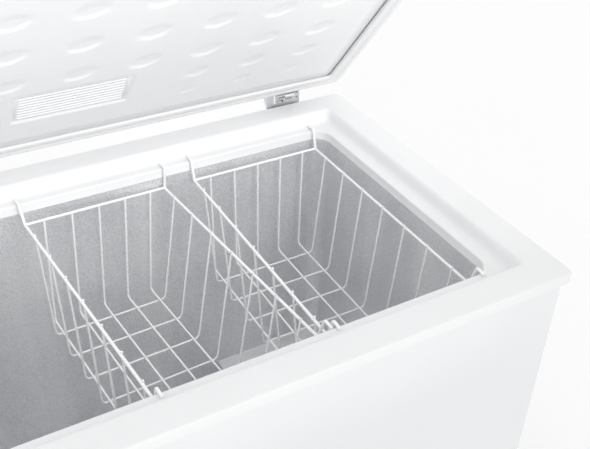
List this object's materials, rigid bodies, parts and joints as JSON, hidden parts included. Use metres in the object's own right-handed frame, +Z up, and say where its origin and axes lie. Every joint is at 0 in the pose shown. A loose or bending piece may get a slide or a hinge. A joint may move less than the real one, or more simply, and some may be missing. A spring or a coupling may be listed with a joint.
{
  "type": "chest freezer",
  "caption": "Chest freezer with a hinged insulated lid held open, a lit lid panel, two hanging wire baskets, a stepped liner over its machine bay and a front thermostat.",
  "frame": {"origin": "centre of the footprint of the whole object with its lid open, on the floor under the feet", "axes": "+X to the freezer's right as a person faces its front, +Y to its back, +Z up"},
  "size_m": [1.026, 0.6353, 1.3251],
  "materials": {
    "white_paint": "satin",
    "white_plastic": "satin",
    "zinc_steel": "satin",
    "embossed_aluminium": "satin",
    "insulating_foam": "matte",
    "copper": "satin",
    "black_enamel": "satin",
    "black_plastic": "matte",
    "rubber": "matte",
    "grey_plastic": "matte",
    "gasket_vinyl": "matte",
    "coated_wire": "satin",
    "green_lens": "gloss",
    "red_lens": "gloss",
    "circuit_board": "matte"
  },
  "bodies": {
    "cabinet": {"outer_cabinet": "white_paint", "rear_panel": "zinc_steel", "bay_cover": "zinc_steel", "base_plate": "zinc_steel", "bay_housing": "zinc_steel", "foam_base": "insulating_foam", "foam_left": "insulating_foam", "foam_right": "insulating_foam", "foam_front": "insulating_foam", "foam_rear": "insulating_foam", "inner_liner": "embossed_aluminium", "top_frame": "white_plastic", "evaporator_coil": "copper", "condenser_coil": "zinc_steel", "side_grille": "grey_plastic", "foot_front_left": "grey_plastic", "foot_front_right": "grey_plastic", "foot_rear_left": "grey_plastic", "foot_rear_right": "grey_plastic", "compressor": "black_enamel", "compressor_mount_1": "rubber", "compressor_mount_2": "rubber", "compressor_mount_3": "rubber", "compressor_mount_4": "rubber", "compressor_tray": "zinc_steel", "starter_cover": "black_plastic", "filter_drier": "copper", "suction_tube": "copper", "discharge_tube": "copper", "cord_gland": "black_plastic", "control_panel": "grey_plastic", "thermostat_body": "zinc_steel", "power_lens": "green_lens", "alarm_lens": "red_lens", "drain_pipe": "white_plastic", "hinge_bracket_right": "zinc_steel", "hinge_bracket_left": "zinc_steel", "hinge_pin_right": "zinc_steel", "hinge_pin_left": "zinc_steel", "hinge_spring_right": "zinc_steel", "hinge_spring_left": "zinc_steel", "hinge_screw_right_1": "zinc_steel", "hinge_screw_right_2": "zinc_steel", "hinge_screw_left_1": "zinc_steel", "hinge_screw_left_2": "zinc_steel"},
    "lid": {"lid_outer": "white_paint", "lid_foam": "insulating_foam", "lid_inner_panel": "white_plastic", "lid_gasket": "gasket_vinyl", "lid_handle": "white_plastic", "lamp_cover": "white_plastic", "lamp_board": "circuit_board", "lid_bracket_right": "zinc_steel", "lid_bracket_left": "zinc_steel"},
    "right_basket": {"basket_right": "coated_wire"},
    "left_basket": {"basket_left": "coated_wire"},
    "knob": {"thermostat_knob": "white_plastic"},
    "plug": {"drain_plug": "white_plastic"},
    "cap": {"drain_cap": "white_plastic"}
  },
  "joints": [
    {"name": "lid_hinge", "type": "hinge", "parent": "cabinet", "child": "lid", "pos_m": [0, 0.3023, 0.813], "axis": [-1, 0, 0], "range_deg": [-51.2, 24]},
    {"name": "right_basket_slide", "type": "slide", "parent": "cabinet", "child": "right_basket", "axis": [1, 0, 0], "range_m": [0, 0.0015]},
    {"name": "left_basket_slide", "type": "slide", "parent": "cabinet", "child": "left_basket", "axis": [-1, 0, 0], "range_m": [0, 0.332]},
    {"name": "thermostat_turn", "type": "hinge", "parent": "cabinet", "child": "knob", "pos_m": [0.328, -0.3131, 0.14], "axis": [0, 1, 0], "range_deg": [-140, 140]},
    {"name": "drain_plug_pull", "type": "slide", "parent": "cabinet", "child": "plug", "axis": [0, 1, 0], "range_m": [0, 0.03]},
    {"name": "drain_cap_pull", "type": "slide", "parent": "cabinet", "child": "cap", "axis": [0, -1, 0], "range_m": [0, 0.03]}
  ]
}
